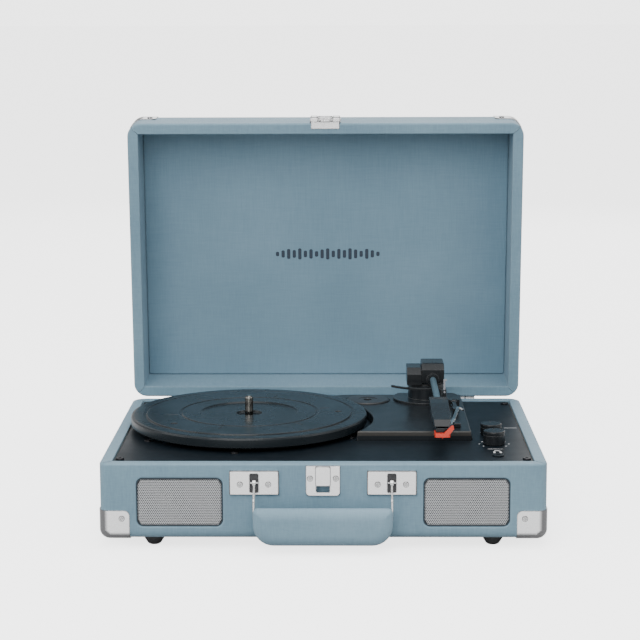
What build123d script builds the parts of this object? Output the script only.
from build123d import *
import os
from math import cos, radians, sin, sqrt

# Portable record player in a covered wooden case with a hinged lid, modelled with the lid open.
# Millimetres, +Z up, Z = 0 on the floor.  While it is built, X = 0 is the middle of the case and
# Y = 0 is the front face; every piece is moved at export so the origin is the middle of the footprint.

# ---- case -------------------------------------------------------------------------------------
CASE_W = 355.6
CASE_D = 254.0
BASE_H = 61.5
LID_H = 49.0
FOOT_H = 8.0
WALL = 9.5
LID_PANEL = 5.0
LID_GAP = 0.8
FRONT_CORNER_R = 8.0
BACK_CORNER_R = 12.0
EDGE_R = 7.0
RIM_EDGE_R = 1.6
LIP_R = 1.2
BOTTOM_T = 5.0
BOARD_FIT = 0.4
RAIL_W = 10.0
RAIL_H = 12.0
LINING_T = 1.2
LINING_FIT = 0.8

# ---- lid hinge: the axis lies just behind the back face and just under the rim -----------------
HINGE_BACK = 1.55
HINGE_DROP = 0.77
LID_SWING = 85.6
HINGE_X = 124.0
HINGE_W = 26.0
KNUCKLE_R = 2.6
HINGE_PIN_R = 1.2
LEAF_T = 1.2
LEAF_H = 16.0
HINGE_GAP = 0.35
PIN_FIT = 0.05

# ---- metal trim --------------------------------------------------------------------------------
GUARD_W = 24.0
GUARD_H = 23.5
GUARD_T = 0.9
GUARD_CORNER_R = 4.5
TRIM_SCREW_R = 2.4
TRIM_SCREW_H = 0.9
TRIM_SHANK_R = 1.0
TRIM_SHANK_L = 7.0

# ---- feet --------------------------------------------------------------------------------------
FOOT_X = 136.0
FOOT_INSET = 17.0
FOOT_TOP_R = 8.5
FOOT_BOTTOM_R = 5.5

# ---- loudspeakers ------------------------------------------------------------------------------
GRILLE_X = 114.0
GRILLE_W = 67.8
GRILLE_H = 38.7
GRILLE_R = 5.0
GRILLE_UP = 30.0
GRILLE_T = 1.0
GRILLE_RECESS = 2.2
GRILLE_FIT = 0.5
GRILLE_HOLE_R = 0.85
GRILLE_PITCH = 2.6
SOUND_W = 58.0
SOUND_H = 31.0
CONE_R = 22.0
SPEAKER_SIZE = 50.0
SPEAKER_DEPTH = 15.0
MAGNET_R = 15.0
MAGNET_T = 8.0

# ---- carrying handle ---------------------------------------------------------------------------
BRACKET_X = 54.5
BRACKET_W = 39.6
BRACKET_H = 20.0
BRACKET_T = 2.5
BRACKET_UP = 46.4
SLOT_W = 7.0
SLOT_H = 16.0
PIVOT_OUT = 1.0
PIVOT_PIN_R = 1.0
EYE_R = 2.7
EYE_W = 2.6
EYE_FIT = 0.08
WIRE_R = 0.9
GRIP_W = 107.0
GRIP_T = 14.0
GRIP_H = 28.0
GRIP_OUT = 12.5
GRIP_UP = 0.3
GRIP_LOW_R = 16.5
GRIP_TOP_R = 4.0

# ---- latch -------------------------------------------------------------------------------------
LATCH_W = 27.4
LATCH_H = 24.8
LATCH_T = 1.5
LATCH_DROP = 1.2
LATCH_CORNER_R = 3.2
BUTTON_W = 12.3
BUTTON_H = 16.0
BUTTON_OUT = 4.2
BUTTON_FACE_T = 1.1
BUTTON_TRAVEL = 5.4
BUTTON_FIT = 0.2
STEM_W = 10.1
HASP_W = 12.7
HASP_T = 0.8
HASP_PIN_R = 0.8
HASP_LIP = 3.6
HASP_WRAP_T = 0.5
HASP_WRAP_L = 5.0
HASP_BARREL_R = 1.75
TONGUE_W = 8.0
TONGUE_L = 7.0

# ---- deck and chassis --------------------------------------------------------------------------
DECK_RECESS = 1.2
DECK_T = 2.5
DECK_GAP = 1.2
DECK_SCREW_SIDE = 5.3
DECK_SCREW_IN = 20.0
CHASSIS_TOP = 6.5
CHASSIS_T = 2.0
CHASSIS_FLOOR_DROP = 7.7
CHASSIS_RIGHT = 123.0
CHASSIS_FRONT = 87.0
CHASSIS_BACK = 239.0
CHASSIS_BACK_LEFT = 16.0
CHASSIS_CHAMFER = 11.0
CHASSIS_FIT = 1.2
FLOOR_WALL_GAP = 0.8
FLOOR_DISC_R = 103.8
FLOOR_LEFT = -156.0
WELL_R = 107.0
OPENING_R = 92.0
SPRING_PLACE_R = 99.0
SPRING_ANGLES = (135.0, 214.5, 266.0, 333.0)
SPRING_R = 4.5

# ---- platter -----------------------------------------------------------------------------------
PLATTER_X = -65.3
PLATTER_Y = 140.0
PLATTER_R = 101.5
PLATTER_TOP = 12.2
PLATTER_H = 9.3
PLATTER_T = 2.6
PLATTER_LIP_R = 88.0
RING_GROOVE_R = 59.0
DISH_R = 41.0
DISH_DEPTH = 1.2
HUB_R = 10.5
HUB_DEPTH = 3.2
SPINDLE_R = 3.55
AXLE_R = 4.0
SPINDLE_TOP = 26.5
SPINDLE_FIT = 0.05
DRIVE_RING_R = 70.0
BELT_T = 0.8
BELT_W = 4.0
BELT_FIT = 0.15
PULLEY_R = 2.5
MOTOR_AWAY = 78.5
MOTOR_ANGLE = 135.0
MOTOR_R = 16.0
MOTOR_H = 22.0

# ---- tonearm -----------------------------------------------------------------------------------
ARM_X = 91.0
ARM_Y = 220.0
ARM_OFFSET = 5.0
ARM_BASE_R = 30.0
ARM_BASE_H = 2.0
ARM_POST_R = 16.5
ARM_POST_TOP = 22.0
ARM_SHAFT_R = 4.0
ARM_SHAFT_FIT = 0.05
TUBE_R = 2.8
TUBE_Z = 28.0
TUBE_FRONT = 106.0
TUBE_WALL = 0.6
TUBE_INTO_BLOCK = 6.0
SOCKET_R = 5.5
TILT_Z = 30.5
STYLUS_Y = 31.0
STYLUS_Z = 13.1
HEAD_W = 15.0
REST_Y = 128.0
LIFT_ARC_R = 42.0
LIFT_GAP = 0.4
LIFT_ARC_START = -139.0
LIFT_ARC_STOP = -70.0
LIFT_ARC_HALF_W = 1.1
LIFT_ARC_T = 1.8
CUE_X = 114.0
CUE_Y = 189.5

# ---- controls ----------------------------------------------------------------------------------
KNOB_X = 141.0
VOLUME_Y = 74.0
MODE_Y = 108.0
KNOB_R = 9.0
VOLUME_H = 11.0
MODE_H = 9.5
KNOB_LIFT = 0.6
SHAFT_R = 3.0
SHAFT_FIT = 0.05
PHONES_Y = 32.0

# ---- levels and edges worked out from the sizes above --------------------------------------------
CASE_Z = FOOT_H
RIM_Z = CASE_Z + BASE_H
DECK_Z = RIM_Z - DECK_RECESS
LID_Z = RIM_Z + LID_GAP
LID_TOP = LID_Z + LID_H
CHASSIS_Z = RIM_Z + CHASSIS_TOP
FLOOR_Z = RIM_Z - CHASSIS_FLOOR_DROP
IN_X = CASE_W / 2 - WALL
IN_BACK = CASE_D - WALL
AXIS_Y = CASE_D + HINGE_BACK
AXIS_Z = RIM_Z - HINGE_DROP
PIVOT_Z = CASE_Z + BRACKET_UP
PLATTER_Z = RIM_Z + PLATTER_TOP
TUBE_X = ARM_X + ARM_OFFSET
LATCH_TOP = RIM_Z - LATCH_DROP

# ---- places worked out from the sizes above --------------------------------------------------
GRILLE_Z = CASE_Z + GRILLE_UP
HINGE_XS = (-HINGE_X, HINGE_X)
BRACKET_Z = PIVOT_Z
TRIM_LEVEL = BRACKET_Z - 1.0
BRACKET_SCREW = 11.2
LATCH_SCREW_X = 10.2
LATCH_SCREW_Z = LATCH_TOP - 10.3
LATCH_Z0 = LATCH_TOP - LATCH_H
BUTTON_Z0 = LATCH_TOP - 0.2 - BUTTON_H
GUARD_SCREW_IN = 17.7
GUARD_SCREW_UP = 17.0
CORNERS = [(sx, sy) for sy in (-1, 1) for sx in (-1, 1)]
CORNER_NAMES = ["front_left", "front_right", "back_left", "back_right"]
FOOT_SEAT = 3.0
GRIP_Z0 = CASE_Z + GRIP_UP
CORE_Z = GRIP_Z0 + 15.0
HASP_PIN_Y = -3.4
HASP_PIN_Z = LID_Z + 12.0
BUSH_R = 8.0
BUSH_TOP = FLOOR_Z + 1.2
MOTOR_BOSS_R = 5.0
MOTOR_X = PLATTER_X + MOTOR_AWAY * cos(radians(MOTOR_ANGLE))
MOTOR_Y = PLATTER_Y + MOTOR_AWAY * sin(radians(MOTOR_ANGLE))
BELT_Z0 = FLOOR_Z + 2.6
MOTOR_TOP = FLOOR_Z - CHASSIS_T
ADAPTER_X = 38.0
ADAPTER_Y = 214.0
ADAPTER_R = 19.0
ADAPTER_WELL_R = 20.5
POST_TOP_Z = RIM_Z + ARM_POST_TOP
YOKE_Z = POST_TOP_Z + 1.4
TILT_AXIS_Z = RIM_Z + TILT_Z
TUBE_AXIS_Z = RIM_Z + TUBE_Z
BLOCK_TOP = RIM_Z + 41.5
BLOCK_FRONT = ARM_Y - 18.0
HEAD_FRONT = STYLUS_Y + 4.0
HEAD_TOP = TUBE_AXIS_Z + 4.6
CARTRIDGE_Z1 = RIM_Z + STYLUS_Z + 7.9
CARTRIDGE_Z0 = RIM_Z + STYLUS_Z + 2.4
CLIP_Z = TUBE_AXIS_Z + TUBE_R + 1.3
LIFT_TOP = TUBE_AXIS_Z - TUBE_R - LIFT_GAP
LIFT_STEM_ANGLE = -75.0
SPEED_X = 112.0
SPEED_Y0 = 104.0
SPEED_Y1 = 116.0
POT_NECK_R = 4.5
PHONES_R = 4.0
JACK_X0 = -122.0
JACK_X1 = -38.0
JACK_Z0 = CASE_Z + 12.0
JACK_Z1 = CASE_Z + 42.0
RCA_XS = (-104.0, -88.0)
DC_X = -52.0
BOARD_X0, BOARD_X1 = -118.0, -18.0
BOARD_Y0, BOARD_Y1 = 172.0, 232.0
BOARD_Z = CASE_Z + BOTTOM_T + 5.0


# ---- small shape helpers -------------------------------------------------------------------------
def block(x0, x1, y0, y1, z0, z1):
    """A box between two corners."""
    return Pos((x0 + x1) / 2, (y0 + y1) / 2, (z0 + z1) / 2) * Box(x1 - x0, y1 - y0, z1 - z0)


def post(x, y, z0, z1, r):
    """An upright round bar."""
    return Pos(x, y, (z0 + z1) / 2) * Cylinder(r, z1 - z0)


def bar_x(x0, x1, y, z, r):
    """A round bar lying along X."""
    return Pos((x0 + x1) / 2, y, z) * Rot(0, 90, 0) * Cylinder(r, x1 - x0)


def bar_y(x, y0, y1, z, r):
    """A round bar lying along Y."""
    return Pos(x, (y0 + y1) / 2, z) * Rot(90, 0, 0) * Cylinder(r, y1 - y0)


def slab(x0, x1, y0, y1, z0, z1, r):
    """A level plate with rounded corners."""
    face = Pos((x0 + x1) / 2, (y0 + y1) / 2, z0) * RectangleRounded(x1 - x0, y1 - y0, r)
    return extrude(face, z1 - z0)


def panel(x0, x1, z0, z1, y0, y1, r):
    """An upright plate facing the front, with rounded corners."""
    place = Pos((x0 + x1) / 2, y1, (z0 + z1) / 2) * Rot(90, 0, 0)
    return place * extrude(RectangleRounded(x1 - x0, z1 - z0, r), y1 - y0)


def turned(points, x=0.0, y=0.0):
    """A solid of revolution about an upright axis, from (radius, height) points."""
    outline = Polyline(*[(r, 0, z) for r, z in points], close=True)
    return Pos(x, y, 0) * revolve(make_face(outline), Axis.Z)


def both_sides(shape):
    """A shape and its mirror image across the middle of the case."""
    return [shape, mirror(shape, Plane.YZ)]


def lid_open(shape):
    """Swing a lid piece from its closed place to its open place."""
    return Pos(0, AXIS_Y, AXIS_Z) * Rot(-LID_SWING, 0, 0) * Pos(0, -AXIS_Y, -AXIS_Z) * shape


def screw(x, y, z, out, length, head_r=TRIM_SCREW_R, head_h=TRIM_SCREW_H, shank_r=TRIM_SHANK_R):
    """A cross-head screw: its head sits on (x, y, z) and stands up along the direction out."""
    head = Pos(0, 0, head_h / 2) * Cylinder(head_r, head_h)
    head = fillet(head.edges().group_by(Axis.Z)[-1], head_h * 0.6)
    slot_w = head_r * 0.3
    slot_l = head_r * 1.1
    for across, along in ((slot_w, slot_l), (slot_l, slot_w)):
        head -= Pos(0, 0, head_h) * Box(across, along, head_h * 0.9)
    body = head + Pos(0, 0, -length / 2 + 0.05) * Cylinder(shank_r, length + 0.1)
    return Plane(origin=(x, y, z), z_dir=out) * body


def screw_hole(x, y, z, out, length, shank_r=TRIM_SHANK_R):
    """The hole that a screw's shank fills."""
    return Plane(origin=(x, y, z), z_dir=out) * Pos(0, 0, -length / 2) * Cylinder(shank_r, length + 1.0)


def edges_at(shape, x=None, y=None, z=None):
    """The edges whose middle lies on the given coordinates."""
    found = []
    for edge in shape.edges():
        middle = edge.center()
        near = [want is None or abs(have - want) < 0.01
                for have, want in ((middle.X, x), (middle.Y, y), (middle.Z, z))]
        if all(near):
            found.append(edge)
    return found


def case_block(z0, z1, front_r, back_r, grow=0.0):
    """The outside of the case between two levels, square at both ends, grown by a skin."""
    x = CASE_W / 2 + grow
    body = block(-x, x, -grow, CASE_D + grow, z0, z1)
    body = fillet(body.edges().filter_by(Axis.Z).group_by(Axis.Y)[0], front_r + grow)
    return fillet(body.edges().filter_by(Axis.Z).group_by(Axis.Y)[-1], back_r + grow)


def base_block(grow=0.0):
    """The outside of the base: rounded along its bottom edges."""
    body = case_block(CASE_Z - grow, RIM_Z, FRONT_CORNER_R, BACK_CORNER_R, grow)
    return fillet(body.edges().group_by(Axis.Z)[0], EDGE_R + grow)


def lid_block(grow=0.0):
    """The outside of the closed lid: rounded along its top edges."""
    body = case_block(LID_Z, LID_TOP + grow, BACK_CORNER_R, BACK_CORNER_R, grow)
    return fillet(body.edges().group_by(Axis.Z)[-1], EDGE_R + grow)


# ---- holes and pockets that more than one piece shares -----------------------------------------


def base_trim_screws():
    """Place, direction and seat of each bright screw on the base."""
    spots = []
    for side in (-1, 1):
        for step in (-BRACKET_SCREW, BRACKET_SCREW):
            spots.append((side * BRACKET_X + step, -BRACKET_T, TRIM_LEVEL, (0, -1, 0)))
        spots.append((side * LATCH_SCREW_X, -LATCH_T, LATCH_SCREW_Z, (0, -1, 0)))
    for sx, sy in CORNERS:
        face_y = -GUARD_T if sy < 0 else CASE_D + GUARD_T
        spot_x = sx * (CASE_W / 2 - GUARD_SCREW_IN)
        spots.append((spot_x, face_y, CASE_Z + GUARD_SCREW_UP, (0, sy, 0)))
    for x in HINGE_XS:
        for step in (-8.0, 8.0):
            spots.append((x + step, CASE_D + LEAF_T, AXIS_Z - 11.0, (0, 1, 0)))
    return spots


def lid_trim_screws():
    """Place, direction and seat of each bright screw on the closed lid."""
    spots = []
    for sx, sy in CORNERS:
        face_y = -GUARD_T if sy < 0 else CASE_D + GUARD_T
        spot_x = sx * (CASE_W / 2 - GUARD_SCREW_IN)
        spots.append((spot_x, face_y, LID_TOP - GUARD_SCREW_UP, (0, sy, 0)))
    for x in HINGE_XS:
        for step in (-8.0, 8.0):
            spots.append((x + step, CASE_D + LEAF_T, AXIS_Z + 12.5, (0, 1, 0)))
    for side in (-1, 1):
        spots.append((side * LATCH_SCREW_X, -LATCH_T, LID_Z + 21.0, (0, -1, 0)))
    return spots


# ---- base: the wooden case and what closes it ---------------------------------------------------
def knuckle_room():
    """The notch along the rim edge that the hinge knuckles turn in."""
    room = []
    half = HINGE_W / 2 + 0.4
    for x in HINGE_XS:
        room.append(bar_x(x - half, x + half, AXIS_Y, AXIS_Z, KNUCKLE_R + 0.4))
    return room


def base_case():
    """Four covered walls, with sound windows, grille seats and pockets for the fittings."""
    body = base_block()
    body = fillet(body.edges().group_by(Axis.Z)[-1], RIM_EDGE_R)
    body -= block(-IN_X, IN_X, WALL, IN_BACK, CASE_Z - 1, RIM_Z + 1)
    for side in (-1, 1):
        x = side * GRILLE_X
        half_w = GRILLE_W / 2 + GRILLE_FIT
        half_h = GRILLE_H / 2 + GRILLE_FIT
        seat = panel(x - half_w, x + half_w, GRILLE_Z - half_h, GRILLE_Z + half_h,
                     -1, GRILLE_RECESS, GRILLE_R + GRILLE_FIT)
        body -= seat
        body -= panel(x - SOUND_W / 2, x + SOUND_W / 2, GRILLE_Z - SOUND_H / 2,
                      GRILLE_Z + SOUND_H / 2, 0, WALL + 1, GRILLE_R)
        pocket_x = side * BRACKET_X
        half_slot = SLOT_W / 2 + 0.3
        body -= block(pocket_x - half_slot, pocket_x + half_slot, -1, 3.0,
                      PIVOT_Z - SLOT_H / 2 - 0.3, PIVOT_Z + SLOT_H / 2)
    body -= block(-7.3, 7.3, -1, 4.0, LATCH_Z0 + 3.0, LATCH_TOP - 6.0)
    lips = [e for e in body.faces().sort_by(Axis.Y)[0].edges()
            if abs(abs(e.center().X) - GRILLE_X) < GRILLE_W / 2 + 2
            and abs(e.center().Z - GRILLE_Z) < GRILLE_H / 2 + 1]
    body = fillet(lips, LIP_R)
    body -= block(JACK_X0 + 5, JACK_X1 - 5, IN_BACK - 1, CASE_D + 1, JACK_Z0 + 4, JACK_Z1 - 4)
    for room in knuckle_room():
        body -= room
    for x, y, z, out in base_trim_screws():
        body -= screw_hole(x, y, z, out, TRIM_SHANK_L)
    return body


def bottom_panel():
    """The board that closes the base from below."""
    x = IN_X - BOARD_FIT
    board = block(-x, x, WALL + BOARD_FIT, IN_BACK - BOARD_FIT, CASE_Z, CASE_Z + BOTTOM_T)
    for x, y in panel_screw_places():
        board -= post(x, y, CASE_Z - 1, CASE_Z + BOTTOM_T + 1, 1.5)
    for sx, sy in CORNERS:
        x = sx * FOOT_X
        y = FOOT_INSET if sy < 0 else CASE_D - FOOT_INSET
        board -= post(x, y, CASE_Z - 1, CASE_Z + BOTTOM_T + 1, 1.5)
    return board


def panel_screw_places():
    """Where the bottom board is screwed to its two side rails."""
    x = IN_X - RAIL_W / 2
    return [(sx * x, y) for sx in (-1, 1) for y in (45.0, CASE_D / 2, CASE_D - 45.0)]


def deck_screw_places():
    """Where the deck is screwed down, near its four corners."""
    x = IN_X - DECK_SCREW_SIDE
    return [(sx * x, DECK_SCREW_IN if sy < 0 else CASE_D - DECK_SCREW_IN) for sx, sy in CORNERS]


def wood_rails():
    """Two rails under the deck and two on the bottom board, glued to the side walls."""
    z_low = CASE_Z + BOTTOM_T
    z_high = DECK_Z - DECK_T
    low = block(IN_X - RAIL_W, IN_X, WALL + 20, IN_BACK - 20, z_low, z_low + RAIL_H)
    high = block(IN_X - RAIL_W, IN_X, WALL + 1, IN_BACK - 1, z_high - RAIL_H, z_high)
    for x, y in panel_screw_places():
        low -= post(abs(x), y, z_low - 1, z_low + 8.0, 1.5)
    for x, y in deck_screw_places():
        high -= post(abs(x), y, z_high - 9.0, z_high + 1, 1.5)
    return both_sides(low) + both_sides(high)


def black_screws():
    """The black wood screws of the deck, the bottom board and the feet."""
    made = []
    for x, y in deck_screw_places():
        made.append(screw(x, y, DECK_Z, (0, 0, 1), 11.0, 3.4, 1.4, 1.5))
    for x, y in panel_screw_places():
        made.append(screw(x, y, CASE_Z, (0, 0, -1), 12.0, 3.0, 1.2, 1.5))
    for sx, sy in CORNERS:
        y = FOOT_INSET if sy < 0 else CASE_D - FOOT_INSET
        made.append(screw(sx * FOOT_X, y, FOOT_SEAT, (0, 0, -1), 9.0, 2.2, 1.0, 1.5))
    for x, y in spring_places():
        made.append(screw(x, y, DECK_Z, (0, 0, 1), 8.0, 3.2, 1.2, 1.5))
    return made


def foot(x, y):
    """A tapered rubber foot with its screw sunk in the middle."""
    lower = FOOT_BOTTOM_R
    body = turned([(0, 0.0), (lower - 1.2, 0.0), (lower, 0.9), (FOOT_TOP_R, FOOT_H - 2.2),
                   (FOOT_TOP_R, FOOT_H), (0, FOOT_H)], x, y)
    body -= post(x, y, -1, FOOT_SEAT, 2.4)
    body -= post(x, y, 0, FOOT_H + 1, 1.5)
    return body


def guard(outer, inner, z0, z1, z_free):
    """One pressed corner guard, at the front right, with its free corners rounded."""
    x1 = CASE_W / 2 + 2
    x0 = CASE_W / 2 - GUARD_W
    cell = block(x0, x1, -2, GUARD_W, z0, z1)
    free = edges_at(cell, x=x0, z=z_free) + edges_at(cell, y=GUARD_W, z=z_free)
    free += edges_at(cell, x=x0, y=GUARD_W)
    cell = fillet(free, GUARD_CORNER_R)
    return (outer & cell) - inner


def base_guards():
    """The four bright guards on the bottom corners of the base."""
    z1 = CASE_Z + GUARD_H
    front = guard(base_block(GUARD_T), base_block(), CASE_Z - 2, z1, z1)
    front -= screw_hole(CASE_W / 2 - GUARD_SCREW_IN, -GUARD_T, CASE_Z + GUARD_SCREW_UP,
                        (0, -1, 0), TRIM_SHANK_L)
    cell_x = CASE_W / 2 - GUARD_W
    back_cell = block(-CASE_W / 2 - 2, -cell_x, CASE_D - GUARD_W, CASE_D + 2, CASE_Z - 2, z1)
    free = edges_at(back_cell, x=-cell_x, z=z1) + edges_at(back_cell, y=CASE_D - GUARD_W, z=z1)
    free += edges_at(back_cell, x=-cell_x, y=CASE_D - GUARD_W)
    back_cell = fillet(free, GUARD_CORNER_R)
    back = (base_block(GUARD_T) & back_cell) - base_block()
    back -= screw_hole(-CASE_W / 2 + GUARD_SCREW_IN, CASE_D + GUARD_T, CASE_Z + GUARD_SCREW_UP,
                       (0, 1, 0), TRIM_SHANK_L)
    return both_sides(front) + both_sides(back)


# ---- loudspeakers ---------------------------------------------------------------------------------
def grille(x):
    """A perforated metal sheet with staggered round holes, set into its seat."""
    sheet = RectangleRounded(GRILLE_W, GRILLE_H, GRILLE_R)
    row_step = GRILLE_PITCH * sqrt(3) / 2
    rows = int((GRILLE_H / 2 - 3.0) / row_step)
    holes = []
    for row in range(-rows, rows + 1):
        shift = GRILLE_PITCH / 2 if row % 2 else 0.0
        half = int((GRILLE_W / 2 - 3.0) / GRILLE_PITCH)
        for column in range(-half, half + 1):
            hole_x = column * GRILLE_PITCH + shift
            if abs(hole_x) < GRILLE_W / 2 - 2.4:
                holes.append(Pos(hole_x, row * row_step) * Circle(GRILLE_HOLE_R))
    sheet -= holes
    front = GRILLE_RECESS - GRILLE_T
    return Pos(x, front + GRILLE_T, GRILLE_Z) * Rot(90, 0, 0) * extrude(sheet, GRILLE_T)


def speaker_parts(x):
    """Frame, cone and magnet of one loudspeaker behind its sound window, facing the front."""
    half = SPEAKER_SIZE / 2
    depth = SPEAKER_DEPTH
    flange = extrude(Rectangle(2 * half, 2 * half) - Circle(CONE_R + 1.0), 1.5)
    basket = revolve(make_face(Polyline(
        (CONE_R + 1.0, 0, 1.0), (CONE_R + 2.2, 0, 1.0), (13.0, 0, depth), (6.0, 0, depth),
        (6.0, 0, depth - 1.5), (12.0, 0, depth - 1.5), close=True)), Axis.Z)
    frame = flange + basket
    for sx in (-1, 1):
        for sy in (-1, 1):
            frame -= Pos(sx * (half - 3), sy * (half - 3), 0) * Cylinder(1.4, 6)
    cone = revolve(make_face(Polyline(
        (0, 0, 9.5), (5.0, 0, 9.5), (18.0, 0, 2.2), (CONE_R + 0.6, 0, 0.3), (CONE_R + 0.6, 0, 0.9),
        (18.3, 0, 3.0), (5.3, 0, 10.3), (0, 0, 10.3), close=True)), Axis.Z)
    magnet = Pos(0, 0, depth + MAGNET_T / 2) * Cylinder(MAGNET_R, MAGNET_T)
    place = Pos(x, WALL, GRILLE_Z) * Rot(-90, 0, 0)
    return place * frame, place * cone, place * magnet


# ---- handle ---------------------------------------------------------------------------------------
def handle_bracket(x):
    """A pressed pan with a slot; a riveted pin crosses the slot and carries the handle."""
    pan = panel(x - BRACKET_W / 2, x + BRACKET_W / 2, BRACKET_Z - BRACKET_H / 2,
                BRACKET_Z + BRACKET_H / 2, -BRACKET_T, 0, 1.5)
    pan = chamfer(pan.faces().sort_by(Axis.Y)[0].edges(), 0.7)
    pan -= panel(x - SLOT_W / 2, x + SLOT_W / 2, PIVOT_Z - SLOT_H / 2 + 0.3,
                 PIVOT_Z + SLOT_H / 2 - 0.3, -BRACKET_T - 1, 1, 1.2)
    pan += bar_x(x - SLOT_W / 2 - 0.5, x + SLOT_W / 2 + 0.5, -PIVOT_OUT, PIVOT_Z, PIVOT_PIN_R)
    for step in (-BRACKET_SCREW, BRACKET_SCREW):
        pan -= screw_hole(x + step, -BRACKET_T, TRIM_LEVEL, (0, -1, 0), TRIM_SHANK_L)
    return pan


def handle_frame():
    """One bent steel wire: an eye on each bracket pin, two links, and the core of the grip."""
    low = (-GRIP_OUT, CORE_Z)
    knee = (-GRIP_OUT + 0.5, PIVOT_Z - 12.0)
    reach = sqrt((knee[0] + PIVOT_OUT) ** 2 + (knee[1] - PIVOT_Z) ** 2)
    share = (EYE_R - 0.6) / reach
    start = (-PIVOT_OUT + (knee[0] + PIVOT_OUT) * share, PIVOT_Z + (knee[1] - PIVOT_Z) * share)
    run = [start, knee, low]
    points = [(-BRACKET_X, y, z) for y, z in run] + [(BRACKET_X, y, z) for y, z in reversed(run)]
    path = FilletPolyline(*points, radius=4.0)
    end = Plane(origin=path @ 0, z_dir=path % 0)
    wire = sweep(end * Circle(WIRE_R), path=path)
    bore = PIVOT_PIN_R + EYE_FIT
    for side in (-1, 1):
        x = side * BRACKET_X
        eye = bar_x(x - EYE_W / 2, x + EYE_W / 2, -PIVOT_OUT, PIVOT_Z, EYE_R)
        wire += eye
        wire -= bar_x(x - EYE_W, x + EYE_W, -PIVOT_OUT, PIVOT_Z, bore)
    return wire


def handle_grip():
    """The covered grip: a crowned bar with large lower corners, bored for the wire core."""
    x = GRIP_W / 2
    z1 = GRIP_Z0 + GRIP_H
    front = -GRIP_OUT - GRIP_T / 2
    back = -GRIP_OUT + GRIP_T / 2
    grip = block(-x, x, front, back, GRIP_Z0, z1)
    grip = fillet(edges_at(grip, x=-x, z=GRIP_Z0) + edges_at(grip, x=x, z=GRIP_Z0), GRIP_LOW_R)
    grip = fillet(edges_at(grip, x=-x, z=z1) + edges_at(grip, x=x, z=z1), GRIP_TOP_R)
    grip = fillet(grip.faces().sort_by(Axis.Y)[0].edges(), 3.9)
    grip = fillet(grip.faces().sort_by(Axis.Y)[-1].edges(), 3.9)
    grip -= bar_x(-x - 5, x + 5, -GRIP_OUT, CORE_Z, WIRE_R)
    for side in (-1, 1):
        side_cut = block(x - 3.2, x + 5, -GRIP_OUT - WIRE_R - 0.3, -GRIP_OUT + WIRE_R + 1.0,
                         CORE_Z - WIRE_R, z1 + 1)
        grip -= side_cut if side > 0 else mirror(side_cut, Plane.YZ)
    return grip


# ---- latch ----------------------------------------------------------------------------------------
def latch_plate():
    """The pressed plate on the base, with the slot that the release button slides in."""
    half = LATCH_W / 2
    plate = panel(-half, half, LATCH_Z0, LATCH_TOP, -LATCH_T, 0, LATCH_CORNER_R)
    plate += block(-half, half, -LATCH_T, 0, LATCH_TOP - 6, LATCH_TOP)
    plate = fillet(plate.faces().sort_by(Axis.Y)[0].edges(), 0.5)
    slot_z0 = BUTTON_Z0 - BUTTON_TRAVEL
    plate -= panel(-STEM_W / 2 - 0.3, STEM_W / 2 + 0.3, slot_z0, BUTTON_Z0 + 9.0, -LATCH_T - 1, 1, 1.2)
    for side in (-1, 1):
        plate -= screw_hole(side * LATCH_SCREW_X, -LATCH_T, LATCH_SCREW_Z, (0, -1, 0), TRIM_SHANK_L)
    return plate


def latch_button():
    """The sliding release: a hollow face for the tongue, a stem in the slot and a tail behind."""
    back = -LATCH_T - BUTTON_FIT
    z1 = BUTTON_Z0 + BUTTON_H
    face = panel(-BUTTON_W / 2, BUTTON_W / 2, BUTTON_Z0, z1, -BUTTON_OUT, back, 1.5)
    face = fillet(face.faces().sort_by(Axis.Y)[0].edges(), 0.6)
    half = TONGUE_W / 2 + 0.6
    face -= block(-half, half, -BUTTON_OUT + BUTTON_FACE_T, 0, BUTTON_Z0 + 7.6, z1 + 1)
    stem = block(-STEM_W / 2, STEM_W / 2, back - 0.5, 1.0, BUTTON_Z0 + 0.6, BUTTON_Z0 + 7.0)
    tail = block(-STEM_W / 2 - 1.6, STEM_W / 2 + 1.6, 0.4, 1.8, BUTTON_Z0 + 0.4, BUTTON_Z0 + 7.4)
    return face + stem + tail


def hasp_plate():
    """The pressed plate on the lid, with two raised ears that hold the hasp pin."""
    half = LATCH_W / 2
    plate = panel(-half, half, LID_Z + 0.4, LID_Z + LATCH_H, -LATCH_T, 0, 1.2)
    wrap = block(-half + 1, half - 1, -LATCH_T, HASP_WRAP_L, LID_Z - HASP_WRAP_T, LID_Z)
    wrap += block(-half + 1, half - 1, -LATCH_T, -LATCH_T / 2, LID_Z - HASP_WRAP_T, LID_Z + 1.4)
    plate += wrap
    inner = HASP_W / 2 + 0.3
    ears = []
    for side in (-1, 1):
        x0, x1 = sorted((side * inner, side * (half - 0.4)))
        ear = block(x0, x1, HASP_PIN_Y - 1.9, -LATCH_T + 0.1, LID_Z + 1.0, HASP_PIN_Z + 3.0)
        ear = fillet(ear.faces().sort_by(Axis.Y)[0].edges(), 1.4)
        ears.append(ear)
    plate += ears
    plate += bar_x(-inner - 0.5, inner + 0.5, HASP_PIN_Y, HASP_PIN_Z, HASP_PIN_R)
    for side in (-1, 1):
        plate -= screw_hole(side * LATCH_SCREW_X, -LATCH_T, LID_Z + 21.0, (0, -1, 0), TRIM_SHANK_L)
    return plate


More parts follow.
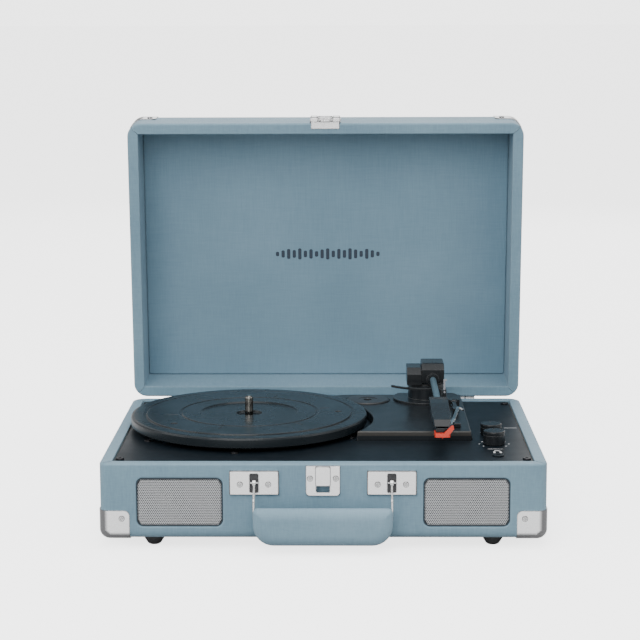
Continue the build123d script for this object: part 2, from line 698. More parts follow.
def hasp():
    """The swinging hasp: a barrel on its pin, a flat arm with a thumb lip, and a slotted tongue."""
    half = HASP_W / 2
    y1 = -BUTTON_OUT + BUTTON_FACE_T + 0.3 + HASP_T
    y0 = y1 - HASP_T
    tongue_z0 = RIM_Z - TONGUE_L
    arm = block(-half, half, y0, y1, LID_Z + 0.6, HASP_PIN_Z)
    arm += block(-half + 1, half - 1, y0 - HASP_LIP, y1, LID_Z + 1.6, LID_Z + 2.6)
    arm += bar_x(-half, half, HASP_PIN_Y, HASP_PIN_Z, HASP_BARREL_R)
    arm += block(-TONGUE_W / 2, TONGUE_W / 2, y0, y1, tongue_z0, LID_Z + 0.7)
    arm -= bar_x(-half - 1, half + 1, HASP_PIN_Y, HASP_PIN_Z, HASP_PIN_R + PIN_FIT)
    return arm - block(-2.6, 2.6, y0 - 1, y1 + 1, tongue_z0 + 1.6, tongue_z0 + 4.2)


# ---- hinges ---------------------------------------------------------------------------------------
def hinge_halves(x):
    """Base leaf, lid leaf (closed place) and pin of one hinge."""
    half = HINGE_W / 2
    third = HINGE_W / 6
    clear = KNUCKLE_R + HINGE_GAP
    base = block(x - half, x + half, CASE_D, CASE_D + LEAF_T, AXIS_Z - LEAF_H, AXIS_Z)
    for side in (-1, 1):
        x0, x1 = sorted((x + side * (third + HINGE_GAP), x + side * half))
        base += bar_x(x0, x1, AXIS_Y, AXIS_Z, KNUCKLE_R)
    middle = third + HINGE_GAP
    base -= bar_x(x - middle, x + middle, AXIS_Y, AXIS_Z, clear)
    base -= bar_x(x - half - 1, x + half + 1, AXIS_Y, AXIS_Z, HINGE_PIN_R)
    lid = block(x - half, x + half, CASE_D, CASE_D + LEAF_T, AXIS_Z + clear, AXIS_Z + LEAF_H + 2)
    lid += block(x - third, x + third, CASE_D, CASE_D + LEAF_T, AXIS_Z, AXIS_Z + clear + 0.5)
    lid += bar_x(x - third, x + third, AXIS_Y, AXIS_Z, KNUCKLE_R)
    lid -= bar_x(x - half - 1, x + half + 1, AXIS_Y, AXIS_Z, HINGE_PIN_R + PIN_FIT)
    for step in (-8.0, 8.0):
        base -= screw_hole(x + step, CASE_D + LEAF_T, AXIS_Z - 11.0, (0, 1, 0), TRIM_SHANK_L)
        lid -= screw_hole(x + step, CASE_D + LEAF_T, AXIS_Z + 12.5, (0, 1, 0), TRIM_SHANK_L)
    pin = bar_x(x - half, x + half, AXIS_Y, AXIS_Z, HINGE_PIN_R)
    return base, lid, pin


# ---- lid ------------------------------------------------------------------------------------------
def lid_case():
    """Four covered walls and the top panel, in the closed place."""
    body = lid_block()
    body = fillet(body.edges().group_by(Axis.Z)[0], RIM_EDGE_R)
    body -= block(-IN_X, IN_X, WALL, IN_BACK, LID_Z - 1, LID_TOP - LID_PANEL)
    for room in knuckle_room():
        body -= room
    for x, y, z, out in lid_trim_screws():
        body -= screw_hole(x, y, z, out, TRIM_SHANK_L)
    return body


def lid_lining():
    """The covered card that lines the inside of the top panel."""
    x = IN_X - LINING_FIT
    z1 = LID_TOP - LID_PANEL
    return slab(-x, x, WALL + LINING_FIT, IN_BACK - LINING_FIT, z1 - LINING_T, z1, 2.0)


def lid_guards():
    """The four bright guards on the top corners of the lid."""
    z0 = LID_TOP - GUARD_H
    outer = lid_block(GUARD_T)
    inner = lid_block()
    front = guard(outer, inner, z0, LID_TOP + 2, z0)
    front -= screw_hole(CASE_W / 2 - GUARD_SCREW_IN, -GUARD_T, LID_TOP - GUARD_SCREW_UP,
                        (0, -1, 0), TRIM_SHANK_L)
    turn = Pos(0, CASE_D / 2, 0) * Rot(0, 0, 180) * Pos(0, -CASE_D / 2, 0)
    return both_sides(front) + both_sides(turn * front)


# ---- deck and chassis -------------------------------------------------------------------------------
def chassis_outline(grow=0.0):
    """The raised part of the chassis in plan: a block cut round by the platter well."""
    right = CHASSIS_RIGHT + grow
    front = CHASSIS_FRONT - grow
    back = CHASSIS_BACK + grow
    left = CHASSIS_BACK_LEFT - grow
    shape = make_face(Polyline(
        (right, front), (right, back), (left, back),
        (left - 2 * CHASSIS_CHAMFER, back - CHASSIS_CHAMFER), (left - 2 * CHASSIS_CHAMFER, front),
        close=True))
    return shape - Pos(PLATTER_X, PLATTER_Y) * Circle(WELL_R - grow)


def chassis():
    """The moulded chassis: a floor under the platter and a hollow raised block for the tonearm."""
    outline = chassis_outline()
    hollow = chassis_outline(-CHASSIS_T)
    disc = Pos(PLATTER_X, PLATTER_Y) * Circle(FLOOR_DISC_R)
    disc -= Pos(FLOOR_LEFT - 25.0, PLATTER_Y) * Rectangle(50.0, 2 * FLOOR_DISC_R)
    floor = disc + chassis_outline(5.0)
    room = Rectangle(2 * (IN_X - FLOOR_WALL_GAP), IN_BACK - WALL - 2 * FLOOR_WALL_GAP)
    floor &= Pos(0, (WALL + IN_BACK) / 2) * room
    body = extrude(Pos(0, 0, FLOOR_Z - CHASSIS_T) * (floor - hollow), CHASSIS_T)
    body += extrude(Pos(0, 0, FLOOR_Z - 0.5) * (outline - hollow), CHASSIS_Z - FLOOR_Z + 0.5)
    body += extrude(Pos(0, 0, CHASSIS_Z - CHASSIS_T) * outline, CHASSIS_T)
    body = chamfer(edges_at_level(body, CHASSIS_Z), 0.8)
    body -= post(ARM_X, ARM_Y, FLOOR_Z - 3, CHASSIS_Z + 1, ARM_SHAFT_R + 2.5)
    body -= post(PLATTER_X, PLATTER_Y, FLOOR_Z - 3, FLOOR_Z + 1, BUSH_R)
    body -= post(MOTOR_X, MOTOR_Y, FLOOR_Z - 3, FLOOR_Z + 1, MOTOR_BOSS_R)
    body -= block(SPEED_X - 1.4, SPEED_X + 1.4, SPEED_Y0 - 3.4, SPEED_Y1 + 3.4,
                  CHASSIS_Z - 3, CHASSIS_Z + 1)
    body -= post(ADAPTER_X, ADAPTER_Y, CHASSIS_Z - 1.2, CHASSIS_Z + 1, ADAPTER_WELL_R)
    for x, y in spring_places():
        body -= post(x, y, FLOOR_Z - 3, FLOOR_Z + 1, 1.5)
    return body


def edges_at_level(shape, z):
    """Every edge that lies wholly at one level."""
    return [e for e in shape.edges()
            if abs(e.bounding_box().min.Z - z) < 0.01 and abs(e.bounding_box().max.Z - z) < 0.01]


def spring_places():
    """The suspension screws, under the edge of the platter."""
    places = []
    for angle in SPRING_ANGLES:
        turn = radians(angle)
        places.append((PLATTER_X + SPRING_PLACE_R * cos(turn), PLATTER_Y + SPRING_PLACE_R * sin(turn)))
    return places


def chassis_springs():
    """The soft bushes that hang the chassis floor under the deck."""
    made = []
    for x, y in spring_places():
        ring = post(x, y, FLOOR_Z, DECK_Z - DECK_T, SPRING_R)
        made.append(ring - post(x, y, FLOOR_Z - 1, DECK_Z + 1, 1.5))
    return made


def deck_plate():
    """The black deck, opened for the platter, the chassis and the controls."""
    x = IN_X - DECK_GAP
    deck = slab(-x, x, WALL + DECK_GAP, IN_BACK - DECK_GAP, DECK_Z - DECK_T, DECK_Z, 2.0)
    deck -= post(PLATTER_X, PLATTER_Y, DECK_Z - DECK_T - 1, DECK_Z + 1, OPENING_R)
    deck -= extrude(Pos(0, 0, DECK_Z - DECK_T - 1) * chassis_outline(CHASSIS_FIT), DECK_T + 2)
    for y in (VOLUME_Y, MODE_Y):
        deck -= post(KNOB_X, y, DECK_Z - DECK_T - 1, DECK_Z + 1, POT_NECK_R)
    deck -= post(KNOB_X, PHONES_Y, DECK_Z - DECK_T - 1, DECK_Z + 1, PHONES_R)
    for x, y in deck_screw_places() + spring_places():
        deck -= post(x, y, DECK_Z - DECK_T - 1, DECK_Z + 1, 1.5)
    return deck


# ---- platter drive -----------------------------------------------------------------------------------


def platter():
    """The platter: a lipped disc with a ring groove, a dished middle, a hub and a drive ring."""
    top = PLATTER_Z
    low = top - PLATTER_H
    skin = top - PLATTER_T
    lip_in = PLATTER_LIP_R
    hub_top = top - HUB_DEPTH
    ring_low = BELT_Z0 - 1.0
    profile = [
        (AXLE_R + SPINDLE_FIT, BUSH_TOP + 0.3), (8.0, BUSH_TOP + 0.3), (8.0, skin - 1.6),
        (DRIVE_RING_R - 2.0, skin - 1.6), (DRIVE_RING_R - 2.0, ring_low), (DRIVE_RING_R, ring_low),
        (DRIVE_RING_R, skin - 1.6), (PLATTER_R - 3.0, skin - 1.6), (PLATTER_R - 3.0, low),
        (PLATTER_R - 0.8, low), (PLATTER_R, low + 0.8), (PLATTER_R, top - 2.2),
        (PLATTER_R - 0.7, top - 1.0), (PLATTER_R - 2.2, top - 0.7), (lip_in + 3.2, top - 0.7),
        (lip_in + 2.4, top - 1.7), (lip_in + 0.6, top - 1.7), (lip_in, top - 0.2),
        (RING_GROOVE_R + 1.4, top), (RING_GROOVE_R + 0.7, top - 0.9), (RING_GROOVE_R - 0.7, top - 0.9),
        (RING_GROOVE_R - 1.4, top), (DISH_R + 1.2, top), (DISH_R, top - DISH_DEPTH),
        (HUB_R + 0.8, top - DISH_DEPTH), (HUB_R, hub_top), (AXLE_R + SPINDLE_FIT, hub_top)]
    disc = turned(profile, PLATTER_X, PLATTER_Y)
    for turn in range(0, 360, 60):
        spoke = Pos(PLATTER_X, PLATTER_Y, top) * Rot(0, 0, turn + 12)
        disc -= spoke * Pos(RING_GROOVE_R + 7.5, 0, 0) * Box(9.0, 1.2, 1.2)
    for turn, away in ((0.0, 77.0), (218.0, 77.0)):
        spot = radians(turn)
        disc -= post(PLATTER_X + away * cos(spot), PLATTER_Y + away * sin(spot), top - 0.9, top + 1, 3.0)
    return disc


def spindle():
    """The chrome spindle: an axle in the bush and the platter, and a thinner rounded tip above."""
    low = FLOOR_Z - 12.0
    shoulder = PLATTER_Z - HUB_DEPTH
    pin = post(PLATTER_X, PLATTER_Y, shoulder - 1, RIM_Z + SPINDLE_TOP, SPINDLE_R)
    pin = fillet(pin.edges().group_by(Axis.Z)[-1], 2.4)
    return pin + post(PLATTER_X, PLATTER_Y, low, shoulder, AXLE_R)


def spindle_bush():
    """The flanged bush that holds the spindle in the chassis floor."""
    x, y = PLATTER_X, PLATTER_Y
    bush = post(x, y, FLOOR_Z - 12.0, BUSH_TOP, BUSH_R) + post(x, y, FLOOR_Z, BUSH_TOP, BUSH_R + 3)
    return bush - post(x, y, FLOOR_Z - 13, BUSH_TOP + 1, AXLE_R)


def drive_motor():
    """The round motor can, with its neck through the chassis floor."""
    can = post(MOTOR_X, MOTOR_Y, MOTOR_TOP - MOTOR_H, MOTOR_TOP, MOTOR_R)
    can = fillet(can.edges().group_by(Axis.Z)[0], 2.0)
    can += post(MOTOR_X, MOTOR_Y, MOTOR_TOP, FLOOR_Z + 0.8, MOTOR_BOSS_R)
    return can - post(MOTOR_X, MOTOR_Y, MOTOR_TOP - 14, FLOOR_Z + 2, 1.0 + SHAFT_FIT)


def motor_pulley():
    """The brass pulley and the steel shaft it is pressed on."""
    shaft = post(MOTOR_X, MOTOR_Y, MOTOR_TOP - 13, BELT_Z0 + BELT_W + 0.6, 1.0)
    low = BELT_Z0 - 0.6
    high = BELT_Z0 + BELT_W + 0.6
    wheel = turned([(0, low - 0.8), (PULLEY_R + 1.4, low - 0.8), (PULLEY_R + 1.4, low), (PULLEY_R, low),
                    (PULLEY_R, high), (PULLEY_R + 1.4, high), (PULLEY_R + 1.4, high + 0.8),
                    (0, high + 0.8)], MOTOR_X, MOTOR_Y)
    return wheel + shaft


def belt_loop(ring_r, pulley_r):
    """The area inside two round ends and their outer tangents."""
    lean = (ring_r - pulley_r) / MOTOR_AWAY
    rise = sqrt(1 - lean * lean)
    corners = [(ring_r * lean, ring_r * rise), (MOTOR_AWAY + pulley_r * lean, pulley_r * rise),
               (MOTOR_AWAY + pulley_r * lean, -pulley_r * rise), (ring_r * lean, -ring_r * rise)]
    middle = make_face(Polyline(*corners, close=True))
    return middle + Circle(ring_r) + Pos(MOTOR_AWAY, 0) * Circle(pulley_r)


def drive_belt():
    """The flat rubber belt round the drive ring and the pulley."""
    inner = BELT_FIT
    outer = BELT_FIT + BELT_T
    loop = belt_loop(DRIVE_RING_R + outer, PULLEY_R + outer)
    loop -= belt_loop(DRIVE_RING_R + inner, PULLEY_R + inner)
    place = Pos(PLATTER_X, PLATTER_Y, BELT_Z0) * Rot(0, 0, MOTOR_ANGLE)
    return place * extrude(loop, BELT_W)


def record_adapter():
    """The loose plastic disc for large-hole singles, lying in its well on the chassis."""
    z = CHASSIS_Z - 1.2
    return turned([(3.7, z), (ADAPTER_R - 0.6, z), (ADAPTER_R, z + 0.6), (ADAPTER_R, z + 1.6),
                   (ADAPTER_R - 1.0, z + 2.4), (9.0, z + 2.4), (8.0, z + 1.8), (3.7, z + 1.8)],
                  ADAPTER_X, ADAPTER_Y)


# ---- tonearm -------------------------------------------------------------------------------------------


def arm_base():
    """The fixed tonearm pedestal: a round foot and a post, bored for the swing shaft."""
    foot_z = CHASSIS_Z + ARM_BASE_H
    flange = post(ARM_X, ARM_Y, CHASSIS_Z, foot_z, ARM_BASE_R)
    flange &= block(ARM_X - 40, CHASSIS_RIGHT - 2.0, ARM_Y - 40, CHASSIS_BACK - 2.0, CHASSIS_Z, foot_z)
    column = post(ARM_X, ARM_Y, foot_z - 0.5, POST_TOP_Z, ARM_POST_R)
    sleeve = post(ARM_X, ARM_Y, FLOOR_Z + 1, CHASSIS_Z + 0.5, ARM_SHAFT_R + 2.4)
    body = flange + column + sleeve
    return body - post(ARM_X, ARM_Y, FLOOR_Z, POST_TOP_Z + 1, ARM_SHAFT_R + ARM_SHAFT_FIT)


def arm_turret():
    """The turning head: a shaft in the pedestal, a disc, a side block and the tilt pin."""
    shaft = post(ARM_X, ARM_Y, FLOOR_Z + 2, POST_TOP_Z + 1, ARM_SHAFT_R)
    disc = post(ARM_X, ARM_Y, POST_TOP_Z + 0.4, YOKE_Z, ARM_POST_R - 0.4)
    x0 = ARM_X - 18.0
    x1 = TUBE_X - 10.2
    side = make_face(Polyline(
        (0, BLOCK_FRONT, POST_TOP_Z + 0.6), (0, BLOCK_FRONT, BLOCK_TOP - 9.0),
        (0, BLOCK_FRONT + 7.0, BLOCK_TOP - 4.0), (0, BLOCK_FRONT + 27.0, BLOCK_TOP - 4.0),
        (0, BLOCK_FRONT + 31.0, BLOCK_TOP - 8.0), (0, BLOCK_FRONT + 31.0, POST_TOP_Z + 0.6),
        close=True))
    wall = extrude(Pos(x0, 0, 0) * side, x1 - x0, dir=(1, 0, 0))
    pin = bar_x(x1 - 4, TUBE_X - 4.0, ARM_Y, TILT_AXIS_Z, 1.5)
    return shaft + disc + wall + pin


def arm_block():
    """The pivot block of the arm, with its balance weight inside, a socket and chamfered edges."""
    x0 = TUBE_X - 9.8
    x1 = TUBE_X + 10.2
    low = YOKE_Z + 1.4
    side = make_face(Polyline(
        (0, BLOCK_FRONT, low), (0, BLOCK_FRONT, BLOCK_TOP - 5.0), (0, BLOCK_FRONT + 7.0, BLOCK_TOP),
        (0, BLOCK_FRONT + 30.0, BLOCK_TOP), (0, BLOCK_FRONT + 36.0, BLOCK_TOP - 6.0),
        (0, BLOCK_FRONT + 36.0, low + 2.0), (0, BLOCK_FRONT + 32.0, low), close=True))
    body = extrude(Pos(x0, 0, 0) * side, x1 - x0, dir=(1, 0, 0))
    body = chamfer(edges_at_level(body, BLOCK_TOP), 0.9)
    body += bar_y(TUBE_X, BLOCK_FRONT - 3.5, BLOCK_FRONT + 1.2, TUBE_AXIS_Z, SOCKET_R)
    body -= bar_y(TUBE_X, BLOCK_FRONT - 5.0, BLOCK_FRONT + TUBE_INTO_BLOCK, TUBE_AXIS_Z, TUBE_R)
    return body - bar_x(x0 - 1, TUBE_X - 3.5, ARM_Y, TILT_AXIS_Z, 1.5 + PIN_FIT)


def arm_tube():
    """The straight metal tube between the block and the headshell."""
    back = BLOCK_FRONT + TUBE_INTO_BLOCK
    tube = bar_y(TUBE_X, TUBE_FRONT - 8.0, back, TUBE_AXIS_Z, TUBE_R)
    return tube - bar_y(TUBE_X, TUBE_FRONT - 10.0, back + 1, TUBE_AXIS_Z, TUBE_R - TUBE_WALL)


def headshell():
    """The faceted headshell: a ribbed collar on the tube and a wedge that narrows to the front."""
    z_tip = RIM_Z + STYLUS_Z + 9.2
    side = make_face(Polyline(
        (0, TUBE_FRONT + 2.0, TUBE_AXIS_Z - 4.6), (0, TUBE_FRONT + 2.0, HEAD_TOP - 1.0),
        (0, TUBE_FRONT - 4.0, HEAD_TOP), (0, TUBE_FRONT - 22.0, HEAD_TOP - 1.0),
        (0, HEAD_FRONT + 6.0, z_tip + 4.5), (0, HEAD_FRONT, z_tip), (0, HEAD_FRONT + 8.0, z_tip - 1.2),
        (0, TUBE_FRONT - 30.0, z_tip - 0.4), (0, TUBE_FRONT - 10.0, TUBE_AXIS_Z - 4.6), close=True))
    half = HEAD_W / 2
    body = extrude(Pos(TUBE_X - half, 0, 0) * side, HEAD_W, dir=(1, 0, 0))
    plan = make_face(Polyline(
        (TUBE_X - half, TUBE_FRONT + 3), (TUBE_X + half, TUBE_FRONT + 3),
        (TUBE_X + half + 1.0, TUBE_FRONT - 40.0), (TUBE_X + 6.0, HEAD_FRONT - 1),
        (TUBE_X - 6.0, HEAD_FRONT - 1), (TUBE_X - half - 1.0, TUBE_FRONT - 40.0), close=True))
    body &= extrude(Pos(0, 0, TUBE_AXIS_Z - 30) * plan, 60)
    for step in range(5):
        y = TUBE_FRONT - 1.0 - 2.2 * step
        body -= block(TUBE_X - half - 1, TUBE_X + half + 1, y - 0.5, y + 0.5, HEAD_TOP - 1.2, HEAD_TOP + 1)
    return body - bar_y(TUBE_X, TUBE_FRONT - 8.0, TUBE_FRONT + 4.0, TUBE_AXIS_Z, TUBE_R)


def cartridge():
    """The black pickup body hanging under the front of the headshell."""
    return block(TUBE_X - 5.0, TUBE_X + 5.0, STYLUS_Y + 3.0, STYLUS_Y + 21.0, CARTRIDGE_Z0, CARTRIDGE_Z1)


def stylus():
    """The red needle holder: a cap round the cartridge nose, a guard wing and the needle."""
    z = RIM_Z + STYLUS_Z
    cap = block(TUBE_X - 6.3, TUBE_X + 6.3, STYLUS_Y - 1.0, STYLUS_Y + 13.0, z + 1.2, z + 4.4)
    cap = fillet(cap.edges().filter_by(Axis.Z).group_by(Axis.Y)[0], 2.0)
    cap -= block(TUBE_X - 5.1, TUBE_X + 5.1, STYLUS_Y + 2.9, STYLUS_Y + 14.0, CARTRIDGE_Z0 - 0.1, z + 6)
    wing = make_face(Polyline(
        (TUBE_X + 1.0, STYLUS_Y - 1.0, z + 1.2), (TUBE_X + 5.4, STYLUS_Y - 1.0, z + 3.0),
        (TUBE_X + 9.2, STYLUS_Y - 1.0, z + 8.4), (TUBE_X + 8.6, STYLUS_Y - 1.0, z + 11.0),
        (TUBE_X + 6.6, STYLUS_Y - 1.0, z + 10.2), (TUBE_X + 1.0, STYLUS_Y - 1.0, z + 4.4), close=True))
    cap += extrude(wing, 2.2, dir=(0, 1, 0))
    needle = Pos(TUBE_X, STYLUS_Y, z + 0.7) * Cone(0.25, 0.7, 1.4)
    return cap + needle


def finger_lift():
    """The bright bent blade at the right of the headshell."""
    z = RIM_Z + STYLUS_Z + 9.0
    x0 = TUBE_X + 5.8
    path = FilletPolyline((x0, STYLUS_Y + 10.0, z), (x0 + 4.5, STYLUS_Y + 22.0, z + 2.5),
                          (x0 + 9.5, STYLUS_Y + 44.0, z + 8.5), (x0 + 13.0, STYLUS_Y + 40.0, z + 6.0),
                          radius=1.8)
    start = Plane(origin=path @ 0, z_dir=path % 0)
    return sweep(start * Rectangle(2.6, 1.1), path=path)


def arm_rest():
    """The fixed arm rest: a post with a low cradle under the tube, open towards the platter."""
    z = CHASSIS_Z
    under = TUBE_AXIS_Z - TUBE_R - 0.35
    body = block(TUBE_X - 2.0, TUBE_X + 9.0, REST_Y - 4.0, REST_Y + 4.0, z, z + 2.0)
    body += block(TUBE_X + 1.0, TUBE_X + 8.0, REST_Y - 3.0, REST_Y + 3.0, z + 1.5, under - 2.5)
    body += block(TUBE_X - 4.0, TUBE_X + 8.0, REST_Y - 3.0, REST_Y + 3.0, under - 2.6, under)
    body += block(TUBE_X + 4.4, TUBE_X + 8.0, REST_Y - 3.0, REST_Y + 3.0, under - 0.5, CLIP_Z + 1.7)
    body -= bar_y(TUBE_X + 6.4, REST_Y - 4.0, REST_Y + 4.0, CLIP_Z, 0.9)
    return body - block(TUBE_X + 4.0, TUBE_X + 9.0, REST_Y - 1.4, REST_Y + 1.4, CLIP_Z - 1.9, CLIP_Z + 3)


def arm_clip():
    """The small swinging clip that holds the tube down, standing open, with its pivot pin."""
    x = TUBE_X + 6.4
    clip = block(x - 0.8, x + 0.8, REST_Y - 1.1, REST_Y + 1.1, CLIP_Z, CLIP_Z + 10.5)
    clip += bar_y(x, REST_Y - 1.1, REST_Y + 1.1, CLIP_Z, 1.6)
    clip += bar_y(x, REST_Y - 3.0, REST_Y + 3.0, CLIP_Z, 0.85)
    return clip + block(x - 0.8, x + 2.0, REST_Y - 1.1, REST_Y + 1.1, CLIP_Z + 9.3, CLIP_Z + 10.5)


def lift_bar():
    """The curved cueing bar under the tube, on the stem that raises it."""
    ring = Circle(LIFT_ARC_R + LIFT_ARC_HALF_W) - Circle(LIFT_ARC_R - LIFT_ARC_HALF_W)
    reach = LIFT_ARC_R * 2
    start, stop = radians(LIFT_ARC_START), radians(LIFT_ARC_STOP)
    wedge = make_face(Polyline((0, 0), (reach * cos(start), reach * sin(start)),
                               (0, -reach * 1.4), (reach * cos(stop), reach * sin(stop)), close=True))
    arc = extrude(Pos(ARM_X, ARM_Y, LIFT_TOP - LIFT_ARC_T) * (ring & wedge), LIFT_ARC_T)
    turn = radians(LIFT_STEM_ANGLE)
    x = ARM_X + LIFT_ARC_R * cos(turn)
    y = ARM_Y + LIFT_ARC_R * sin(turn)
    return arc + post(x, y, CHASSIS_Z - 6.0, LIFT_TOP - 1.0, 1.4)


def lift_socket():
    """The guide that the lift bar's stem slides in, screwed to the chassis."""
    turn = radians(LIFT_STEM_ANGLE)
    x = ARM_X + LIFT_ARC_R * cos(turn)
    y = ARM_Y + LIFT_ARC_R * sin(turn)
    body = post(x, y, CHASSIS_Z - 8.0, CHASSIS_Z + 3.5, 3.2)
    body += post(x, y, CHASSIS_Z, CHASSIS_Z + 1.0, 4.6)
    return body - post(x, y, CHASSIS_Z - 9.0, CHASSIS_Z + 5, 1.45), (x, y)


def cue_lever():
    """The cueing lever on its cross shaft, lying forward."""
    z = CHASSIS_Z + 3.4
    arm = block(CUE_X - 1.6, CUE_X + 1.6, CUE_Y - 34.0, CUE_Y, z - 1.2, z + 1.4)
    arm += block(CUE_X - 2.8, CUE_X + 2.8, CUE_Y - 38.0, CUE_Y - 28.0, z - 1.4, z + 2.2)
    arm += bar_x(CUE_X - 1.6, CUE_X + 1.6, CUE_Y, z, 2.6)
    arm += bar_x(CUE_X - 4.6, CUE_X + 4.6, CUE_Y, z, 1.2)
    return arm


def cue_bracket():
    """The two small cheeks that carry the cue lever's shaft."""
    z = CHASSIS_Z
    made = block(CUE_X - 5.0, CUE_X + 5.0, CUE_Y - 3.0, CUE_Y + 4.5, z, z + 0.6)
    for side in (-1, 1):
        x0, x1 = sorted((CUE_X + side * 2.6, CUE_X + side * 5.0))
        made += block(x0, x1, CUE_Y - 3.0, CUE_Y + 3.0, z, z + 6.2)
    return made - bar_x(CUE_X - 6, CUE_X + 6, CUE_Y, z + 3.4, 1.25)


# ---- controls, jacks and electronics ---------------------------------------------------------------------


def knob(y, height):
    """A control knob with a grooved cap, a pointer groove and its shaft."""
    z0 = DECK_Z + KNOB_LIFT
    body = post(KNOB_X, y, z0, z0 + height, KNOB_R)
    body = fillet(body.edges().group_by(Axis.Z)[-1], 1.0)
    groove = Circle(KNOB_R + 1) - Circle(KNOB_R - 0.5)
    body -= extrude(Pos(KNOB_X, y, z0 + height - 3.4) * groove, 0.7)
    body -= Pos(KNOB_X, y + KNOB_R * 0.6, z0 + height) * Box(0.9, KNOB_R * 0.7, 0.8)
    shaft = post(KNOB_X, y, DECK_Z - 14.0, z0 + 1.0, SHAFT_R)
    hollow = post(KNOB_X, y, z0 - 1, z0 + 3.2, POT_NECK_R + 1.6)
    return (body - hollow) + shaft + post(KNOB_X, y, z0 + 0.5, z0 + 4.0, SHAFT_R)


def control_pots():
    """The volume control and the mode switch under the deck, each with its threaded neck."""
    made = []
    for y in (VOLUME_Y, MODE_Y):
        z1 = DECK_Z - DECK_T
        body = block(KNOB_X - 8.5, KNOB_X + 8.5, y - 8.5, y + 8.5, z1 - 10.0, z1)
        body += post(KNOB_X, y, z1 - 1, DECK_Z + KNOB_LIFT + 1.6, POT_NECK_R - 0.1)
        made.append(body - post(KNOB_X, y, z1 - 12, DECK_Z + 4, SHAFT_R + SHAFT_FIT))
    return made


def speed_lever():
    """The speed selector: a small cap on a blade in the chassis slot, at its front place."""
    y = SPEED_Y0
    cap = block(SPEED_X - 3.0, SPEED_X + 3.0, y - 3.0, y + 3.0, CHASSIS_Z + 0.3, CHASSIS_Z + 3.6)
    cap = fillet(cap.edges().group_by(Axis.Z)[-1], 0.8)
    return cap + block(SPEED_X - 1.1, SPEED_X + 1.1, y - 2.6, y + 2.6, CHASSIS_Z - 5.0, CHASSIS_Z + 0.6)


def headphone_jack():
    """A small round socket with a ring nut, flush in the front right of the deck."""
    body = post(KNOB_X, PHONES_Y, DECK_Z - 12.0, DECK_Z + 0.4, PHONES_R)
    body += post(KNOB_X, PHONES_Y, DECK_Z, DECK_Z + 1.0, PHONES_R + 0.6)
    return body - post(KNOB_X, PHONES_Y, DECK_Z - 10.0, DECK_Z + 2, 1.8)


def jack_plate():
    """The black plate on the back that carries the sockets."""
    y0 = CASE_D
    plate = Pos((JACK_X0 + JACK_X1) / 2, y0, (JACK_Z0 + JACK_Z1) / 2) * Rot(-90, 0, 0) * extrude(
        RectangleRounded(JACK_X1 - JACK_X0, JACK_Z1 - JACK_Z0, 3.0), 1.6)
    middle = (JACK_Z0 + JACK_Z1) / 2
    for x in RCA_XS:
        plate -= bar_y(x, y0 - 1, y0 + 3, middle, 4.2)
    return plate - bar_y(DC_X, y0 - 1, y0 + 3, middle, 5.0)


def rca_jack(x):
    """One phono socket: a barrel with a round bore."""
    z = (JACK_Z0 + JACK_Z1) / 2
    body = bar_y(x, CASE_D - 8.0, CASE_D + 7.5, z, 4.1) + bar_y(x, CASE_D - 8.0, CASE_D - 0.4, z, 6.0)
    return body - bar_y(x, CASE_D - 5.0, CASE_D + 9, z, 1.75)


def dc_socket():
    """The low-voltage power inlet with its centre pin."""
    z = (JACK_Z0 + JACK_Z1) / 2
    body = bar_y(DC_X, CASE_D - 11.0, CASE_D + 2.2, z, 4.9)
    body -= bar_y(DC_X, CASE_D - 8.0, CASE_D + 3, z, 2.75)
    return body + bar_y(DC_X, CASE_D - 9.0, CASE_D + 1.0, z, 1.05)


def board_corners():
    """The four fixing points of the amplifier board."""
    return [(x, y) for x in (BOARD_X0 + 5, BOARD_X1 - 5) for y in (BOARD_Y0 + 5, BOARD_Y1 - 5)]


def circuit_board():
    """The amplifier board."""
    board = slab(BOARD_X0, BOARD_X1, BOARD_Y0, BOARD_Y1, BOARD_Z, BOARD_Z + 1.6, 2.0)
    for x, y in board_corners():
        board -= post(x, y, BOARD_Z - 1, BOARD_Z + 3, 1.6)
    return board


def board_pillars():
    """The four pillars between the bottom board and the amplifier board."""
    made = []
    for x, y in board_corners():
        made.append(post(x, y, CASE_Z + BOTTOM_T, BOARD_Z, 3.0) + post(x, y, BOARD_Z, BOARD_Z + 2.6, 1.6))
    return made


def board_parts():
    """The tall parts on the board: three capacitors, a heat sink and a chip."""
    z = BOARD_Z + 1.6
    made = [post(-100.0 + 12 * i, 205.0, z, z + 14.0, 4.0) for i in range(3)]
    sink = block(-60.0, -36.0, 214.0, 217.0, z, z + 15.0)
    for i in range(6):
        x = -59.0 + 4.2 * i
        sink += block(x, x + 1.2, 208.0, 214.5, z, z + 15.0)
    chip = block(-70.0, -58.0, 184.0, 196.0, z, z + 2.0)
    return made + [sink, chip]


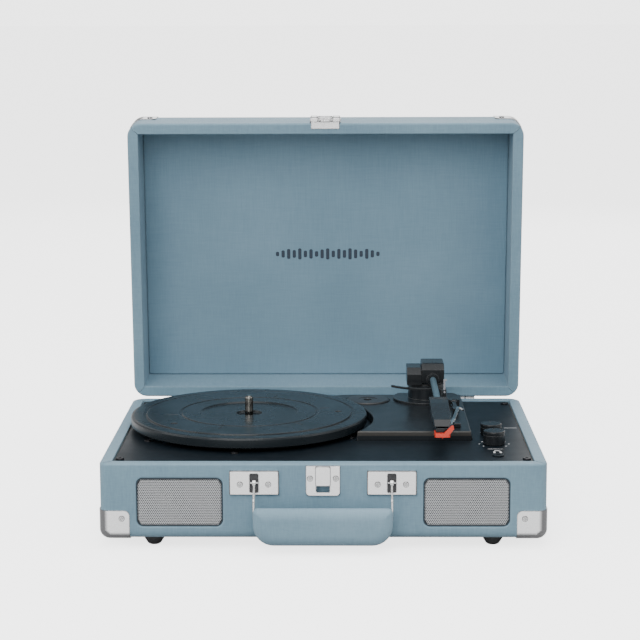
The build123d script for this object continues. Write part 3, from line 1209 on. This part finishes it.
# ---- assembly ------------------------------------------------------------------------------------------
def all_pieces():
    """Every piece under its own name."""
    pieces = {}
    pieces["base_case"] = base_case()
    pieces["bottom_panel"] = bottom_panel()
    pieces["wood_rails"] = wood_rails()
    pieces["black_screws"] = black_screws()
    for name, (sx, sy) in zip(CORNER_NAMES, CORNERS):
        y = FOOT_INSET if sy < 0 else CASE_D - FOOT_INSET
        pieces["foot_" + name] = foot(sx * FOOT_X, y)
    pieces["base_corner_guards"] = base_guards()
    pieces["base_trim_screws"] = [screw(*spot, TRIM_SHANK_L) for spot in base_trim_screws()]

    pieces["grille_left"] = grille(-GRILLE_X)
    pieces["grille_right"] = grille(GRILLE_X)
    speakers = [speaker_parts(-GRILLE_X), speaker_parts(GRILLE_X)]
    pieces["speaker_frames"] = [part for s in speakers for part in (s[0], s[2])]
    pieces["speaker_cones"] = [s[1] for s in speakers]

    pieces["handle_brackets"] = [handle_bracket(-BRACKET_X), handle_bracket(BRACKET_X)]
    pieces["handle_wire"] = handle_frame()
    pieces["handle_grip"] = handle_grip()
    pieces["latch_plate"] = latch_plate()
    pieces["latch_button"] = latch_button()

    hinges = [hinge_halves(x) for x in HINGE_XS]
    pieces["hinge_leaves_and_pins"] = [part for h in hinges for part in (h[0], h[2])]
    pieces["hinge_lid_leaves"] = [lid_open(h[1]) for h in hinges]
    pieces["lid_case"] = lid_open(lid_case())
    pieces["lid_lining"] = lid_open(lid_lining())
    pieces["lid_corner_guards"] = [lid_open(g) for g in lid_guards()]
    pieces["lid_trim_screws"] = [lid_open(screw(*spot, TRIM_SHANK_L)) for spot in lid_trim_screws()]
    pieces["hasp_plate"] = lid_open(hasp_plate())
    pieces["hasp"] = lid_open(hasp())

    pieces["deck_plate"] = deck_plate()
    pieces["chassis"] = chassis()
    pieces["chassis_springs"] = chassis_springs()
    pieces["platter"] = platter()
    pieces["spindle"] = spindle()
    pieces["spindle_bush"] = spindle_bush()
    pieces["drive_motor"] = drive_motor()
    pieces["motor_pulley"] = motor_pulley()
    pieces["drive_belt"] = drive_belt()
    pieces["record_adapter"] = record_adapter()

    guide, (guide_x, guide_y) = lift_socket()
    pieces["chassis"] -= post(guide_x, guide_y, CHASSIS_Z - 3, CHASSIS_Z + 1, 3.2)
    pieces["arm_base"] = arm_base()
    pieces["arm_turret"] = arm_turret()
    pieces["arm_block"] = arm_block()
    pieces["arm_tube"] = arm_tube()
    pieces["headshell"] = headshell()
    pieces["cartridge"] = cartridge()
    pieces["stylus"] = stylus()
    pieces["finger_lift"] = finger_lift() - pieces["headshell"]
    pieces["arm_rest"] = arm_rest()
    pieces["arm_clip"] = arm_clip()
    pieces["lift_bar"] = lift_bar()
    pieces["cue_lever"] = cue_lever()
    pieces["cue_mounts"] = [cue_bracket(), guide]

    pieces["volume_knob"] = knob(VOLUME_Y, VOLUME_H)
    pieces["mode_knob"] = knob(MODE_Y, MODE_H)
    pieces["control_pots"] = control_pots()
    pieces["speed_lever"] = speed_lever()
    pieces["headphone_jack"] = headphone_jack()
    pieces["jack_plate"] = jack_plate()
    pieces["rca_jacks"] = [rca_jack(x) for x in RCA_XS]
    pieces["dc_socket"] = dc_socket()
    pieces["circuit_board"] = circuit_board()
    pieces["board_fittings"] = board_pillars() + board_parts()
    return pieces


def to_footprint_middle(pieces):
    """Move every piece so that the origin is the middle of the whole footprint."""
    boxes = [solid.bounding_box() for shape in pieces.values()
             for solid in (shape if isinstance(shape, list) else [shape])]
    front = min(box.min.Y for box in boxes)
    back = max(box.max.Y for box in boxes)
    return -(front + back) / 2


def main():
    os.makedirs("parts", exist_ok=True)
    pieces = all_pieces()
    shift = to_footprint_middle(pieces)
    for name, shape in pieces.items():
        solids = shape if isinstance(shape, list) else [shape]
        moved = Compound(children=[Pos(0, shift, 0) * s for s in solids]) if len(solids) > 1 \
            else Pos(0, shift, 0) * solids[0]
        moved.label = name
        export_step(moved, os.path.join("parts", name + ".step"))
    print(len(pieces), "pieces, shifted", round(shift, 3), "along Y")


main()
